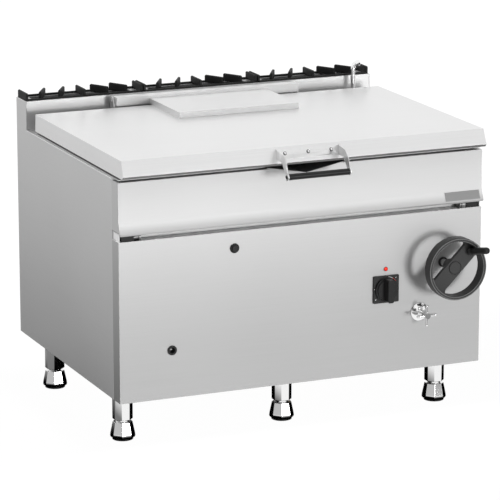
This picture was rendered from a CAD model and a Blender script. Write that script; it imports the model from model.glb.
# A gas tilting bratt pan in a plain studio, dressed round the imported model.
import math

import bpy
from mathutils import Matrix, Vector


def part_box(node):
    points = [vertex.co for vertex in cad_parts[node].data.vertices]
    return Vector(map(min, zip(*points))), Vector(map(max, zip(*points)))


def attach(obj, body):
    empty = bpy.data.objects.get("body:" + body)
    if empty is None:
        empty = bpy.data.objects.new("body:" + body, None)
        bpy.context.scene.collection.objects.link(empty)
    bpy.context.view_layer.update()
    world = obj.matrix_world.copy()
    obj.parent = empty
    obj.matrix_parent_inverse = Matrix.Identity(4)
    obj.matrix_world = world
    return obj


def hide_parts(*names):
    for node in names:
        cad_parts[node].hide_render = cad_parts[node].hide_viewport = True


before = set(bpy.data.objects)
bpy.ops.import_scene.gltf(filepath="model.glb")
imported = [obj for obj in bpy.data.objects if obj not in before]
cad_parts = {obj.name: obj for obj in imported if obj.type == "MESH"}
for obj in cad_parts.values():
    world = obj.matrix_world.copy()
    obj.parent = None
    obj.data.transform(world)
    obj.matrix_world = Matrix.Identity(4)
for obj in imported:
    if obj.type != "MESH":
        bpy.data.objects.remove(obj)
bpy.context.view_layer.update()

# Camera. It stands well to the left of the machine, above the worktop, with a long
# lens, so that the left side panel and the lid's top both show.
camera_dip = 13.98
camera_turn = -23.32
bpy.ops.object.camera_add(
    location=(-3.741334, -8.629417, 2.836066),
    rotation=(math.radians(90 - camera_dip), 0, math.radians(camera_turn)),
)
camera = bpy.context.object
camera.name = "studio_camera"
camera.data.sensor_width = 36.0
camera.data.lens = 222.593
camera.data.clip_end = 60.0
bpy.context.scene.camera = camera


# Studio floor. One plain pale sheet of paper that runs far past the picture on every
# side. It glows nearly white, so that it stays even, and the metal doesn't see it.
def plain_paint(name, colour, roughness):
    """Matt paint or paper with a trace of mottle in its colour."""
    finish = bpy.data.materials.new(name)
    finish.use_nodes = True
    nodes = finish.node_tree.nodes
    links = finish.node_tree.links
    surface = nodes["Principled BSDF"]
    surface.inputs["Roughness"].default_value = roughness
    place = nodes.new("ShaderNodeTexCoord")
    mottle = nodes.new("ShaderNodeTexNoise")
    mottle.inputs["Scale"].default_value = 9.0
    links.new(place.outputs["Object"], mottle.inputs["Vector"])
    tone = nodes.new("ShaderNodeMix")
    tone.data_type = "RGBA"
    tone.inputs["A"].default_value = (*[c * 0.985 for c in colour], 1)
    tone.inputs["B"].default_value = (*colour, 1)
    links.new(mottle.outputs["Fac"], tone.inputs["Factor"])
    links.new(tone.outputs["Result"], surface.inputs["Base Color"])
    return finish


floor_size = 40
bpy.ops.object.select_all(action="DESELECT")
bpy.ops.mesh.primitive_plane_add(size=floor_size, location=(0, 0, 0))
floor = bpy.context.object
floor.name = "studio_floor"
paper = plain_paint("studio_paper", (0.06, 0.06, 0.06), 1.0)
paper_surface = paper.node_tree.nodes["Principled BSDF"]
paper_surface.inputs["Specular IOR Level"].default_value = 0.0
paper_surface.inputs["Emission Color"].default_value = (1, 1, 1, 1)
paper_surface.inputs["Emission Strength"].default_value = 0.985
floor.data.materials.append(paper)
floor.visible_glossy = False
floor.visible_diffuse = False
floor.visible_shadow = False

# Bounce sheet on the floor. The camera doesn't see it; the metal does. It is dark under
# the machine, grey on the left, bright just before the legs and behind the machine, and
# dim farther out at the front.
bpy.ops.object.select_all(action="DESELECT")
bpy.ops.mesh.primitive_plane_add(size=floor_size, location=(0, 0, 0))
bounce = bpy.context.object
bounce.name = "bounce_sheet"
glow = bpy.data.materials.new("bounce_glow")
glow.use_nodes = True
glow_nodes = glow.node_tree.nodes
glow_links = glow.node_tree.links
glow_surface = glow_nodes["Principled BSDF"]
glow_surface.inputs["Base Color"].default_value = (0, 0, 0, 1)
glow_surface.inputs["Specular IOR Level"].default_value = 0.0
glow_surface.inputs["Emission Color"].default_value = (1, 1, 1, 1)
glow_place = glow_nodes.new("ShaderNodeTexCoord")
glow_split = glow_nodes.new("ShaderNodeSeparateXYZ")
glow_links.new(glow_place.outputs["Object"], glow_split.inputs["Vector"])


def glow_ramp(axis, from_low, from_high, low_level, high_level):
    """Level that changes smoothly between two places on one axis of the sheet."""
    ramp = glow_nodes.new("ShaderNodeMapRange")
    ramp.interpolation_type = "SMOOTHSTEP"
    ramp.inputs["From Min"].default_value = from_low
    ramp.inputs["From Max"].default_value = from_high
    ramp.inputs["To Min"].default_value = low_level
    ramp.inputs["To Max"].default_value = high_level
    glow_links.new(glow_split.outputs[axis], ramp.inputs["Value"])
    return ramp.outputs["Result"]


def glow_mix(operation, first, second):
    """Two levels put together."""
    both = glow_nodes.new("ShaderNodeMath")
    both.operation = operation
    glow_links.new(first, both.inputs[0])
    glow_links.new(second, both.inputs[1])
    return both.outputs["Value"]


# Bright band before the legs, over the dim floor farther out.
leg_edge = glow_ramp("Y", -0.42, -0.26, 1.0, 0.0)
leg_end = glow_ramp("Y", -1.20, -0.90, 0.0, 1.0)
leg_band = glow_mix("MULTIPLY", leg_edge, leg_end)
far_level = glow_ramp("Y", -3.2, -1.2, 0.60, 0.25)
far_end = glow_ramp("Y", -0.9, -0.5, 1.0, 0.0)
far_front = glow_mix("MULTIPLY", far_level, far_end)
near_front = glow_mix("MAXIMUM", leg_band, far_front)
near_rear = glow_ramp("Y", 0.5, 1.2, 0.0, 1.0)
ring = glow_mix("MAXIMUM", near_front, near_rear)
# Grey on the left, up to the side panel, where the front and rear levels take over.
near_left = glow_ramp("X", -2.3, -0.72, 0.74, 0.20)
left_share = glow_ramp("X", -0.75, -0.62, 1.0, 0.0)
left_glow = glow_mix("MAXIMUM", near_left, leg_band)
open_left = glow_mix("MULTIPLY", left_glow, left_share)
ring_share = glow_ramp("X", -0.75, -0.62, 0.0, 1.0)
open_ring = glow_mix("MULTIPLY", ring, ring_share)
level = glow_mix("ADD", open_left, open_ring)
glow_links.new(level, glow_surface.inputs["Emission Strength"])
bounce.data.materials.append(glow)
bounce.visible_camera = False
bounce.visible_shadow = False

# Studio light. A white room with soft darker patches, which the sheets and the chrome
# mirror, and one soft, nearly level key light from the right of the front, which throws
# the handwheel's shadow on the panel.
bpy.context.scene.view_settings.view_transform = "Standard"
world = bpy.data.worlds.new("studio_room")
bpy.context.scene.world = world
world.use_nodes = True
room_nodes = world.node_tree.nodes
room_links = world.node_tree.links
room = room_nodes["Background"]
direction = room_nodes.new("ShaderNodeTexCoord")


def dark_patch(towards, inner, outer, level):
    """Factor that falls to level round one direction; its two angles are in degrees."""
    dot = room_nodes.new("ShaderNodeVectorMath")
    dot.operation = "DOT_PRODUCT"
    dot.inputs[1].default_value = Vector(towards).normalized()
    room_links.new(direction.outputs["Generated"], dot.inputs[0])
    fall = room_nodes.new("ShaderNodeMapRange")
    fall.interpolation_type = "SMOOTHSTEP"
    fall.inputs["From Min"].default_value = math.cos(math.radians(outer))
    fall.inputs["From Max"].default_value = math.cos(math.radians(inner))
    fall.inputs["To Min"].default_value = 1.0
    fall.inputs["To Max"].default_value = level
    room_links.new(dot.outputs["Value"], fall.inputs["Value"])
    return fall.outputs["Result"]


patches = [
    dark_patch((0.95, -0.10, 0.10), 18, 30, 0.02),
    dark_patch((-0.396, -0.918, 0.05), 12, 22, 0.05),
    dark_patch((-0.92, -0.39, 0.1), 20, 50, 0.55),
    dark_patch((0.385, -0.92, -0.02), 10, 25, 0.45),
    dark_patch((0.15, -0.62, 0.77), 8, 15, 0.05),
    dark_patch((0.385, -0.786, 0.45), 14, 26, 0.84),
    dark_patch((-0.75, -0.60, 0.30), 7, 13, 0.05),
]
tone_of_room = patches[0]
for patch in patches[1:]:
    both = room_nodes.new("ShaderNodeMath")
    both.operation = "MULTIPLY"
    room_links.new(tone_of_room, both.inputs[0])
    room_links.new(patch, both.inputs[1])
    tone_of_room = both.outputs["Value"]
room_links.new(tone_of_room, room.inputs["Strength"])
room.inputs["Color"].default_value = (1, 1, 1, 1)

bpy.ops.object.light_add(type="SUN", location=(2.0, -4.0, 0.3))
key_light = bpy.context.object
key_light.name = "key_light"
key_light.rotation_euler = Vector((-0.276, 0.961, -0.016)).to_track_quat("-Z", "Y").to_euler()
key_light.data.angle = math.radians(16)
key_light.data.energy = 0.95


# Sheets of the cabinet. Stainless steel, folded with small radii at every edge and
# satin brushed along its length; the seams between the sheets stay open and dark.
panel_foot = 0.15
panel_head = 0.66


def brushed_steel(name, tone, roughness, grain, foot=1.0):
    """Satin stainless steel; grain is the pattern's scale along X, Y and Z.

    foot is the share of the tone that is left at the bottom of the cabinet. Below 1 the
    finish gets darker downwards, as the front panel does in the photograph."""
    finish = bpy.data.materials.new(name)
    finish.use_nodes = True
    nodes = finish.node_tree.nodes
    links = finish.node_tree.links
    surface = nodes["Principled BSDF"]
    surface.inputs["Metallic"].default_value = 0.82
    place = nodes.new("ShaderNodeTexCoord")
    stretch = nodes.new("ShaderNodeMapping")
    stretch.inputs["Scale"].default_value = grain
    links.new(place.outputs["Object"], stretch.inputs["Vector"])
    strokes = nodes.new("ShaderNodeTexNoise")
    strokes.inputs["Scale"].default_value = 1.0
    strokes.inputs["Detail"].default_value = 3.0
    links.new(stretch.outputs["Vector"], strokes.inputs["Vector"])
    clouds = nodes.new("ShaderNodeTexNoise")
    clouds.inputs["Scale"].default_value = 2.3
    clouds.inputs["Detail"].default_value = 1.0
    links.new(place.outputs["Object"], clouds.inputs["Vector"])
    both = nodes.new("ShaderNodeMath")
    both.operation = "ADD"
    links.new(strokes.outputs["Fac"], both.inputs[0])
    links.new(clouds.outputs["Fac"], both.inputs[1])
    colour = nodes.new("ShaderNodeValToRGB")
    colour.color_ramp.elements[0].position = 0.35
    colour.color_ramp.elements[0].color = (*[tone * 0.95] * 3, 1)
    colour.color_ramp.elements[1].position = 0.65
    colour.color_ramp.elements[1].color = (*[tone] * 3, 1)
    half = nodes.new("ShaderNodeMath")
    half.operation = "MULTIPLY"
    half.inputs[1].default_value = 0.5
    links.new(both.outputs["Value"], half.inputs[0])
    links.new(half.outputs["Value"], colour.inputs["Fac"])
    height = nodes.new("ShaderNodeSeparateXYZ")
    links.new(place.outputs["Object"], height.inputs["Vector"])
    share = nodes.new("ShaderNodeMapRange")
    share.inputs["From Min"].default_value = panel_foot
    share.inputs["From Max"].default_value = panel_head
    share.inputs["To Min"].default_value = foot
    share.inputs["To Max"].default_value = 1.0
    links.new(height.outputs["Z"], share.inputs["Value"])
    shaded = nodes.new("ShaderNodeVectorMath")
    shaded.operation = "SCALE"
    links.new(colour.outputs["Color"], shaded.inputs[0])
    links.new(share.outputs["Result"], shaded.inputs["Scale"])
    links.new(shaded.outputs["Vector"], surface.inputs["Base Color"])
    gloss = nodes.new("ShaderNodeMapRange")
    gloss.inputs["To Min"].default_value = roughness - 0.05
    gloss.inputs["To Max"].default_value = roughness + 0.05
    links.new(strokes.outputs["Fac"], gloss.inputs["Value"])
    links.new(gloss.outputs["Result"], surface.inputs["Roughness"])
    relief = nodes.new("ShaderNodeBump")
    relief.inputs["Strength"].default_value = 0.05
    relief.inputs["Distance"].default_value = 0.0002
    links.new(strokes.outputs["Fac"], relief.inputs["Height"])
    links.new(relief.outputs["Normal"], surface.inputs["Normal"])
    return finish


def wear(finish, *nodes):
    """Give CAD nodes their finish."""
    for node in nodes:
        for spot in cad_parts[node].material_slots:
            spot.material = finish


merge_distance = 0.00001
flat_angle = 0.5


def folded_copy(node, body, finish, edge, steps=2, angle=28, smooth=40):
    """Copy of a CAD node in its place, with edges of more than angle degrees rounded."""
    bpy.ops.object.select_all(action="DESELECT")
    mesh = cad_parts[node].data.copy()
    piece = bpy.data.objects.new(node + "_piece", mesh)
    bpy.context.collection.objects.link(piece)
    piece.select_set(True)
    bpy.context.view_layer.objects.active = piece
    mesh.materials.clear()
    mesh.materials.append(finish)
    bpy.ops.object.mode_set(mode="EDIT")
    bpy.ops.mesh.select_all(action="SELECT")
    bpy.ops.mesh.remove_doubles(threshold=merge_distance)
    bpy.ops.mesh.dissolve_limited(angle_limit=math.radians(flat_angle))
    bpy.ops.object.mode_set(mode="OBJECT")
    if edge > 0:
        bevel = piece.modifiers.new("edges", "BEVEL")
        bevel.width = edge
        bevel.segments = steps
        bevel.limit_method = "ANGLE"
        bevel.angle_limit = math.radians(angle)
        bevel.use_clamp_overlap = True
        bpy.ops.object.modifier_apply(modifier="edges")
    bpy.ops.object.shade_smooth_by_angle(angle=math.radians(smooth))
    even = piece.modifiers.new("flat_faces", "WEIGHTED_NORMAL")
    even.keep_sharp = True
    bpy.ops.object.modifier_apply(modifier="flat_faces")
    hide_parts(node)
    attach(piece, body)
    return piece


front_steel = brushed_steel("front_steel", 0.52, 0.38, (3, 500, 500), 0.70)
side_steel = brushed_steel("side_steel", 0.66, 0.38, (500, 3, 500))
upstand_steel = brushed_steel("upstand_steel", 0.62, 0.40, (3, 500, 500))
front_sheet = folded_copy("front_panel", "cabinet", front_steel, 0.0009)
left_sheet = folded_copy("side_panel_left", "cabinet", side_steel, 0.0012)
right_sheet = folded_copy("side_panel_right", "cabinet", side_steel, 0.0012)
fold_steel = brushed_steel("fold_steel", 0.95, 0.5, (3, 500, 500))
fold_steel.node_tree.nodes["Principled BSDF"].inputs["Metallic"].default_value = 0.25


def repaint(piece, finish, wanted):
    """Second finish on the faces that the test picks out."""
    piece.data.materials.append(finish)
    for face in piece.data.polygons:
        if wanted(face):
            face.material_index = 1


# The upper folds look towards the ceiling and show bright in the photograph.
fold_level = 0.65
for sheet in (front_sheet, left_sheet, right_sheet):
    repaint(sheet, fold_steel, lambda face: face.center.z > fold_level and face.normal.z > 0.3)
folded_copy("flue_housing", "cabinet", upstand_steel, 0.0009)
folded_copy("rear_deck", "cabinet", upstand_steel, 0.0009)
wear(side_steel, "rear_panel")

# Frame and everything under the pan. Galvanised angle section and plain steel sheet,
# welded and bolted together, out of sight until the pan is tilted.
frame_steel = brushed_steel("frame_steel", 0.50, 0.45, (60, 60, 60))
wear(frame_steel, "base_frame", "frame_posts", "drive_bracket", "hinge_shaft")
wear(frame_steel, "cross_shaft", "worm_spindle", "grip_pin", "burner_chamber")
wear(fold_steel, "pan_mantle")


# Legs. Chromed octagonal sleeves under the base frame, with flared feet to level the
# machine, on thin dark pads of rubber.
def chrome_plate(name, tone, roughness):
    """Polished chrome with faint polishing haze."""
    finish = bpy.data.materials.new(name)
    finish.use_nodes = True
    nodes = finish.node_tree.nodes
    links = finish.node_tree.links
    surface = nodes["Principled BSDF"]
    surface.inputs["Metallic"].default_value = 1.0
    surface.inputs["Base Color"].default_value = (*[tone] * 3, 1)
    place = nodes.new("ShaderNodeTexCoord")
    haze = nodes.new("ShaderNodeTexNoise")
    haze.inputs["Scale"].default_value = 60.0
    links.new(place.outputs["Object"], haze.inputs["Vector"])
    gloss = nodes.new("ShaderNodeMapRange")
    gloss.inputs["To Min"].default_value = roughness * 0.6
    gloss.inputs["To Max"].default_value = roughness * 1.4
    links.new(haze.outputs["Fac"], gloss.inputs["Value"])
    links.new(gloss.outputs["Result"], surface.inputs["Roughness"])
    return finish


leg_chrome = chrome_plate("leg_chrome", 0.88, 0.05)
folded_copy("leg_sleeves", "cabinet", leg_chrome, 0.0015, 3)
folded_copy("leg_feet", "cabinet", leg_chrome, 0.0012, 3)


def moulding(name, tone, roughness, grain, depth):
    """Black plastic, rubber or cast iron: a fine grain in colour, gloss and relief."""
    finish = bpy.data.materials.new(name)
    finish.use_nodes = True
    nodes = finish.node_tree.nodes
    links = finish.node_tree.links
    surface = nodes["Principled BSDF"]
    surface.inputs["Specular IOR Level"].default_value = 0.3
    place = nodes.new("ShaderNodeTexCoord")
    texture = nodes.new("ShaderNodeTexNoise")
    texture.inputs["Scale"].default_value = grain
    texture.inputs["Detail"].default_value = 4.0
    links.new(place.outputs["Object"], texture.inputs["Vector"])
    colour = nodes.new("ShaderNodeValToRGB")
    colour.color_ramp.elements[0].color = (*[tone * 0.8] * 3, 1)
    colour.color_ramp.elements[1].color = (*[tone * 1.2] * 3, 1)
    links.new(texture.outputs["Fac"], colour.inputs["Fac"])
    links.new(colour.outputs["Color"], surface.inputs["Base Color"])
    gloss = nodes.new("ShaderNodeMapRange")
    gloss.inputs["To Min"].default_value = roughness - 0.06
    gloss.inputs["To Max"].default_value = roughness + 0.06
    links.new(texture.outputs["Fac"], gloss.inputs["Value"])
    links.new(gloss.outputs["Result"], surface.inputs["Roughness"])
    relief = nodes.new("ShaderNodeBump")
    relief.inputs["Strength"].default_value = 0.3
    relief.inputs["Distance"].default_value = depth
    links.new(texture.outputs["Fac"], relief.inputs["Height"])
    links.new(relief.outputs["Normal"], surface.inputs["Normal"])
    return finish


pad_rubber = moulding("pad_rubber", 0.012, 0.6, 400, 0.0001)
folded_copy("foot_pads", "cabinet", pad_rubber, 0.001)

# Grates. Three black cast-iron grates on the flue, sand-cast, so rough and with
# rounded edges; each has two long bars, three straight blades and four slanted ones.
cast_iron = moulding("cast_iron", 0.008, 0.62, 500, 0.0005)
grate_low, grate_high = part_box("flue_grates")
grate_y = (grate_low[1] + grate_high[1]) / 2
grate_depth = grate_high[1] - grate_low[1]
grate_length = 0.396
grate_step = 0.399
bar_size = 0.008
bar_height = 0.006
blade_rise = 0.003
blade_height = grate_high[2] - grate_low[2] + blade_rise
blade_corner = 0.004
slant_angle = 30
slant_step = 0.065
slant_size = (bar_size + 0.001, grate_depth * 0.92, blade_height)
slant_shift = 0.003
grate_parts = []


def cast_block(centre, size, slant=0.0):
    """One cast bar or blade; the four upper edges of a blade are rounded."""
    bpy.ops.object.select_all(action="DESELECT")
    bpy.ops.mesh.primitive_cube_add(size=1, location=centre)
    block = bpy.context.object
    block.scale = size
    bpy.ops.object.transform_apply(location=False, rotation=False, scale=True)
    if size[2] > bar_size:
        for vertex in block.data.vertices:
            vertex.select = vertex.co.z > 0
        for edge in block.data.edges:
            edge.select = False
        for face in block.data.polygons:
            face.select = False
        bpy.ops.object.mode_set(mode="EDIT")
        bpy.ops.mesh.select_mode(type="EDGE")
        bpy.ops.mesh.bevel(offset=blade_corner, segments=3)
        bpy.ops.mesh.select_mode(type="VERT")
        bpy.ops.object.mode_set(mode="OBJECT")
    block.rotation_euler = (0, 0, math.radians(slant))
    bpy.ops.object.transform_apply(location=True, rotation=True, scale=True)
    grate_parts.append(block)


for side in (-1, 1):
    bar_y = grate_y + side * (grate_depth - bar_size) / 2
    cast_block((0, bar_y, grate_low[2] + bar_height / 2), (grate_length, bar_size, bar_height))
blade_z = grate_low[2] + blade_height / 2
blade_size = (bar_size, grate_depth, blade_height)
for side in (-1, 0, 1):
    cast_block((side * (grate_length - bar_size) / 2, grate_y, blade_z), blade_size)
for side in (-1, 1):
    for step in (1, 2):
        blade_x = side * (grate_length / 2 - step * slant_step - bar_size / 2)
        cast_block((blade_x, grate_y + slant_shift, blade_z), slant_size, side * slant_angle)


def join_parts(parts, name, finish, edge, steps=3):
    """Join pieces of one casting or fitting and round their edges."""
    bpy.ops.object.select_all(action="DESELECT")
    for part in parts:
        part.select_set(True)
    bpy.context.view_layer.objects.active = parts[0]
    if len(parts) > 1:
        bpy.ops.object.join()
    whole = bpy.context.view_layer.objects.active
    whole.name = name
    whole.data.materials.clear()
    whole.data.materials.append(finish)
    if edge > 0:
        round_off = whole.modifiers.new("edges", "BEVEL")
        round_off.width = edge
        round_off.segments = steps
        round_off.limit_method = "ANGLE"
        round_off.angle_limit = math.radians(28)
        bpy.ops.object.modifier_apply(modifier="edges")
    bpy.ops.object.shade_smooth_by_angle(angle=math.radians(40))
    even = whole.modifiers.new("flat_faces", "WEIGHTED_NORMAL")
    even.keep_sharp = True
    bpy.ops.object.modifier_apply(modifier="flat_faces")
    return whole


middle_grate = join_parts(grate_parts, "grate_middle", cast_iron, 0.0016)
grates = [middle_grate]
for side in (-1, 1):
    bpy.ops.object.select_all(action="DESELECT")
    middle_grate.select_set(True)
    bpy.context.view_layer.objects.active = middle_grate
    bpy.ops.object.duplicate()
    copy = bpy.context.object
    copy.name = "grate_left" if side < 0 else "grate_right"
    copy.location = (side * grate_step, 0, 0)
    bpy.ops.object.transform_apply(location=True, rotation=False, scale=False)
    grates.append(copy)
for grate in grates:
    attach(grate, "cabinet")
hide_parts("flue_grates")
wear(cast_iron, "burner_tubes")

# Lid. A double-skinned tray of stainless steel, its corners folded and welded tight,
# with a raised plate that carries the hinge. The plate's front edge and the hem under
# the tray are darker, as in the photograph.
lid_steel = brushed_steel("lid_steel", 0.84, 0.34, (3, 500, 500))
lid_sheet = folded_copy("lid_shell", "lid", lid_steel, 0.0014, 3)
wear(lid_steel, "lid_liner")
leaf_steel = brushed_steel("leaf_steel", 0.84, 0.50, (3, 500, 500))
leaf_sheet = folded_copy("hinge_leaf", "lid", leaf_steel, 0.0012, 3)
leaf_edge = brushed_steel("leaf_edge", 0.58, 0.50, (3, 500, 500))
repaint(leaf_sheet, leaf_edge, lambda face: face.normal.y < -0.5)
hem_steel = brushed_steel("hem_steel", 0.22, 0.40, (3, 500, 500))
lid_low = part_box("lid_shell")[0][2]
hem_top = lid_low + 0.009
repaint(lid_sheet, hem_steel, lambda face: face.center.z < hem_top and face.normal.z < -0.3)
folded_copy("hinge_brackets", "pan", upstand_steel, 0.0008)

# Pan. Apron, rim and pouring lip are of the same satin sheet, round a welded well. The
# trough of the lip is dark, and a small plate without lettering sits on the apron.
apron_steel = brushed_steel("apron_steel", 0.60, 0.54, (3, 500, 500))
folded_copy("pan_apron", "pan", apron_steel, 0.0009, 2, 28, 8)
folded_copy("pan_rim", "pan", apron_steel, 0.0009)
spout_sheet = folded_copy("pour_spout", "pan", apron_steel, 0.0006)
scorched = brushed_steel("scorched_steel", 0.09, 0.60, (90, 90, 90))
repaint(spout_sheet, scorched, lambda face: face.normal.z > 0.1)
well_steel = brushed_steel("well_steel", 0.62, 0.30, (3, 300, 300))
wear(well_steel, "pan_well")
seal_rubber = moulding("seal_rubber", 0.02, 0.55, 300, 0.0001)
wear(seal_rubber, "lid_seal")
folded_copy("sight_grommet", "cabinet", seal_rubber, 0.0015, 3)
plate_metal = brushed_steel("plate_metal", 0.36, 0.34, (4, 400, 400))
folded_copy("badge_plate", "pan", plate_metal, 0.0004)

# Lid handle. A bracket of bright folded steel, three socket screws on black washers
# and a black bar between two arms. The screws stand square on the lid's sloped face,
# which is placed from the cabinet's front.
bracket_steel = brushed_steel("bracket_steel", 0.84, 0.36, (200, 200, 5))
folded_copy("handle_bracket", "lid", bracket_steel, 0.0007)
bar_plastic = moulding("bar_plastic", 0.010, 0.34, 250, 0.0001)
folded_copy("handle_bar", "lid", bar_plastic, 0.0012, 3)
bolt_steel = chrome_plate("bolt_steel", 0.8, 0.16)
front_y = -0.364252


def socket_screw(place, turn, radius, height, washer=0.0):
    """Round screw head with a socket; its foot stands on place and it grows along Z."""
    bpy.ops.object.select_all(action="DESELECT")
    bpy.ops.mesh.primitive_cylinder_add(
        vertices=32, radius=radius, depth=height, location=place, rotation=turn)
    head = bpy.context.object
    for vertex in head.data.vertices:
        vertex.co.z += height / 2 + washer
    for vertex in head.data.vertices:
        vertex.select = False
    for edge in head.data.edges:
        edge.select = False
    for face in head.data.polygons:
        face.select = face.normal.z > 0.9
    bpy.ops.object.mode_set(mode="EDIT")
    bpy.ops.mesh.select_mode(type="FACE")
    bpy.ops.mesh.bevel(offset=height * 0.45, segments=4)
    bpy.ops.mesh.inset(thickness=radius * 0.12)
    bpy.ops.mesh.extrude_region_shrink_fatten(
        TRANSFORM_OT_shrink_fatten={"value": -height * 0.7})
    bpy.ops.mesh.select_mode(type="VERT")
    bpy.ops.object.mode_set(mode="OBJECT")
    bpy.ops.object.transform_apply(location=True, rotation=True, scale=True)
    return head


def washer_ring(place, turn, radius, height):
    """Washer under a screw, slightly domed at its rim."""
    bpy.ops.object.select_all(action="DESELECT")
    bpy.ops.mesh.primitive_cylinder_add(
        vertices=32, radius=radius, depth=height, location=place, rotation=turn)
    ring = bpy.context.object
    for vertex in ring.data.vertices:
        vertex.co.z += height / 2
        if vertex.co.z > height / 2:
            vertex.co.x *= 0.9
            vertex.co.y *= 0.9
    bpy.ops.object.transform_apply(location=True, rotation=True, scale=True)
    return ring


lid_overhang = 0.034
face_foot = 0.861
lean = math.atan2(0.019, 0.046)
face_turn = (math.pi / 2 - lean, 0, 0)
on_face = 0.028
stand = 0.003
bolt_y = front_y - lid_overhang + on_face * math.sin(lean) - stand * math.cos(lean)
bolt_z = face_foot + on_face * math.cos(lean) + stand * math.sin(lean)
bolt_step = 0.076
washer_height = 0.0008
heads = []
washers = []
for bolt_x in (-bolt_step, 0.0, bolt_step):
    place = (bolt_x, bolt_y, bolt_z)
    washers.append(washer_ring(place, face_turn, 0.0058, washer_height))
    heads.append(socket_screw(place, face_turn, 0.0034, 0.0011, washer_height))
bolt_heads = join_parts(heads, "handle_bolt_heads", bolt_steel, 0)
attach(bolt_heads, "lid")
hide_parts("handle_bolts")
bolt_washers = join_parts(washers, "handle_washers", bar_plastic, 0)
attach(bolt_washers, "lid")

# Handwheel. A black moulded wheel with two fine raised lines round its rim, a cap on
# its hub and a crank grip that turns on a pin. The bush that its spindle enters and the
# bearing blocks of the pan are of the same black plastic as the grip.
wheel_plastic = moulding("wheel_plastic", 0.045, 0.42, 320, 0.00015)
grip_plastic = moulding("grip_plastic", 0.014, 0.3, 320, 0.0001)
folded_copy("handwheel", "handwheel", wheel_plastic, 0.002, 3)
wheel_low, wheel_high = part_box("handwheel")
wheel_x = (wheel_low[0] + wheel_high[0]) / 2
wheel_z = (wheel_low[2] + wheel_high[2]) / 2
wheel_front = wheel_low[1]
bead_lines = ((0.0950, 0.0013), (0.0880, 0.0009))
beads = []
for ring_radius, bead in bead_lines:
    bpy.ops.object.select_all(action="DESELECT")
    bpy.ops.mesh.primitive_torus_add(
        major_radius=ring_radius, minor_radius=bead, major_segments=96, minor_segments=10,
        location=(wheel_x, wheel_front + 0.0002, wheel_z), rotation=(math.pi / 2, 0, 0))
    bpy.ops.object.transform_apply(location=True, rotation=True, scale=True)
    beads.append(bpy.context.object)
wheel_bead = moulding("wheel_bead", 0.20, 0.35, 320, 0.0001)
rim_beads = join_parts(beads, "wheel_beads", wheel_bead, 0)
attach(rim_beads, "handwheel")
folded_copy("hub_cap", "handwheel", wheel_plastic, 0.001, 3)
folded_copy("crank_grip", "crank_grip", grip_plastic, 0.0012, 3)
folded_copy("spindle_bush", "cabinet", grip_plastic, 0.0012, 3)
folded_copy("bearing_blocks", "cabinet", grip_plastic, 0.001)

# Controls. A square black plate with a bar-shaped knob for the gas, and the igniter's
# round button with its body behind the front panel, all of moulded plastic.
dial_plastic = moulding("dial_plastic", 0.02, 0.4, 300, 0.0001)
folded_copy("control_plate", "cabinet", dial_plastic, 0.001)
folded_copy("control_knob", "control_knob", grip_plastic, 0.0015, 3)
folded_copy("igniter_body", "cabinet", grip_plastic, 0.0012, 3)
folded_copy("igniter_button", "igniter_button", grip_plastic, 0.0012, 3)

# Water valve and tap. Chromed brass: a cross handle on a domed rosette at the front,
# and a swan neck that swivels on its base on the rear deck.
tap_chrome = chrome_plate("tap_chrome", 0.9, 0.06)
folded_copy("valve_rosette", "cabinet", tap_chrome, 0.0008)
folded_copy("valve_handle", "valve_handle", tap_chrome, 0.001)
folded_copy("swan_neck", "swan_neck", tap_chrome, 0.0006)
folded_copy("tap_base", "cabinet", tap_chrome, 0.0008)

# Sight tube behind the low hole. A dark tube closed by a dull glass, with the bright
# tip of the pilot burner's electrode behind it.
sight_x = -0.432
sight_z = 0.311
tip_y = front_y + 0.012
bpy.ops.object.select_all(action="DESELECT")
bpy.ops.mesh.primitive_cylinder_add(
    vertices=40, radius=0.0135, depth=0.006,
    location=(sight_x, front_y + 0.016, sight_z), rotation=(math.pi / 2, 0, 0))
sight_tube = bpy.context.object
for face in sight_tube.data.polygons:
    face.select = face.normal.z > 0.9
bpy.ops.object.mode_set(mode="EDIT")
bpy.ops.mesh.select_mode(type="FACE")
bpy.ops.mesh.inset(thickness=0.004)
bpy.ops.mesh.extrude_region_shrink_fatten(TRANSFORM_OT_shrink_fatten={"value": -0.003})
bpy.ops.mesh.select_mode(type="VERT")
bpy.ops.object.mode_set(mode="OBJECT")
bpy.ops.object.transform_apply(location=True, rotation=True, scale=True)


def sheet_part(place, size):
    """Oblong block of metal, for small fittings that are joined from several."""
    bpy.ops.object.select_all(action="DESELECT")
    bpy.ops.mesh.primitive_cube_add(size=1, location=place)
    block = bpy.context.object
    block.scale = size
    bpy.ops.object.transform_apply(location=True, rotation=True, scale=True)
    return block


sight_glass = join_parts([sight_tube], "sight_tube", dial_plastic, 0.0003, 2)
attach(sight_glass, "cabinet")
tip_parts = [
    sheet_part((sight_x + 0.001, tip_y, sight_z), (0.007, 0.002, 0.003)),
    sheet_part((sight_x - 0.001, tip_y, sight_z + 0.003), (0.002, 0.002, 0.006)),
]
electrode = join_parts(tip_parts, "pilot_electrode", frame_steel, 0.0005, 2)
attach(electrode, "cabinet")


# Lamp. A red lens that is lit from behind, in a black body above the dial.
def lit_lens(name, colour, strength):
    """Clear coloured lens with a lamp behind it and a faint pattern of facets."""
    finish = moulding(name, 0.5, 0.2, 900, 0.0002)
    surface = finish.node_tree.nodes["Principled BSDF"]
    for link in list(finish.node_tree.links):
        if link.to_socket == surface.inputs["Base Color"]:
            finish.node_tree.links.remove(link)
    surface.inputs["Base Color"].default_value = (*colour, 1)
    surface.inputs["Emission Color"].default_value = (*colour, 1)
    surface.inputs["Emission Strength"].default_value = strength
    return finish


wear(grip_plastic, "lamp_body")
wear(lit_lens("red_lens", (0.80, 0.03, 0.015), 0.55), "lamp_lens")

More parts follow.
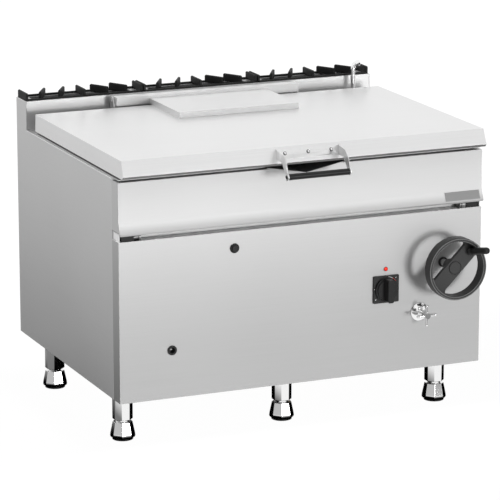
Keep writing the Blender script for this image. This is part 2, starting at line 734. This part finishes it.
# Marks of the dial. Thin printed arcs and ticks round the knob: white, then red, then
# white again where the knob's pointer passes.
print_white = moulding("print_white", 0.75, 0.5, 600, 0.00005)
print_red = lit_lens("print_red", (0.70, 0.05, 0.03), 0.1)
dial_x = 0.2745
dial_z = 0.428
dial_y = front_y - 0.006
print_lift = 0.0001
print_thickness = 0.0004


def dial_arc(name, finish, radius, width, start, sweep):
    """Printed arc on the plate, from an angle in degrees and against the clock."""
    bpy.ops.object.select_all(action="DESELECT")
    angle = math.radians(start)
    place = (
        dial_x + radius * math.cos(angle),
        dial_y - print_lift,
        dial_z + radius * math.sin(angle),
    )
    bpy.ops.mesh.primitive_plane_add(size=1, location=place, rotation=(0, -angle, 0))
    arc = bpy.context.object
    arc.scale = (width, print_thickness, 1)
    bpy.ops.object.transform_apply(location=True, rotation=True, scale=True)
    bpy.ops.object.mode_set(mode="EDIT")
    bpy.ops.mesh.select_all(action="SELECT")
    bpy.ops.mesh.spin(
        steps=12, angle=math.radians(sweep), center=(dial_x, dial_y, dial_z), axis=(0, -1, 0))
    bpy.ops.mesh.select_all(action="SELECT")
    bpy.ops.mesh.normals_make_consistent(inside=False)
    bpy.ops.object.mode_set(mode="OBJECT")
    arc.name = name
    arc.data.materials.append(finish)
    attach(arc, "cabinet")


dial_arc("dial_arc_low", print_white, 0.0398, 0.0014, 80, 22)
dial_arc("dial_arc_hot", print_red, 0.0398, 0.0014, 58, 21)
dial_arc("dial_arc_end", print_white, 0.0398, 0.0014, 50, 7)
dial_arc("dial_tick_off", print_white, 0.0405, 0.0022, 178, 4)
dial_arc("dial_tick_low", print_white, 0.0470, 0.0040, 222, 3)
dial_arc("dial_tick_high", print_white, 0.0470, 0.0040, 48, 2)

# Gas and water fittings, gears and springs. Brass valve bodies and pipes with a worm
# wheel of the same yellow metal, dark machined gears and dark spring wire.
def tint(finish, darker, lighter):
    """Give a finish the two colours that its pattern runs between."""
    ramp = next(node for node in finish.node_tree.nodes if node.type == "VALTORGB")
    ramp.color_ramp.elements[0].color = (*darker, 1)
    ramp.color_ramp.elements[1].color = (*lighter, 1)


brass = brushed_steel("brass", 0.60, 0.34, (80, 80, 80))
tint(brass, (0.52, 0.36, 0.15), (0.66, 0.48, 0.22))
wear(brass, "gas_valve", "gas_pipe", "gas_manifold", "water_pipe", "worm_wheel")
gear_steel = brushed_steel("gear_steel", 0.26, 0.38, (120, 120, 120))
wear(gear_steel, "tilt_quadrant", "pinion", "worm_thread", "trunnions")
spring_steel = brushed_steel("spring_steel", 0.20, 0.30, (300, 300, 300))
wear(spring_steel, "lid_springs")


# Insulation. Yellowish mineral wool between the well and its mantle, matt, with a
# coarse pattern in its colour and relief.
mineral_wool = moulding("mineral_wool", 0.5, 0.9, 140, 0.002)
tint(mineral_wool, (0.40, 0.33, 0.14), (0.74, 0.66, 0.38))
wear(mineral_wool, "pan_insulation")

# Cover plates in the gaps beside the bearing blocks. Small upright pieces of bright
# sheet at both ends of the gap, which close it towards the sides.
cover_x = 0.5955
cover_y = front_y + 0.028
cover_z = 0.6635
cover_size = (0.0015, 0.048, 0.037)
cover_parts = []
for side in (-1, 1):
    cover_parts.append(sheet_part((side * cover_x, cover_y, cover_z), cover_size))
covers = join_parts(cover_parts, "gap_covers", fold_steel, 0.0004, 2)
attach(covers, "cabinet")
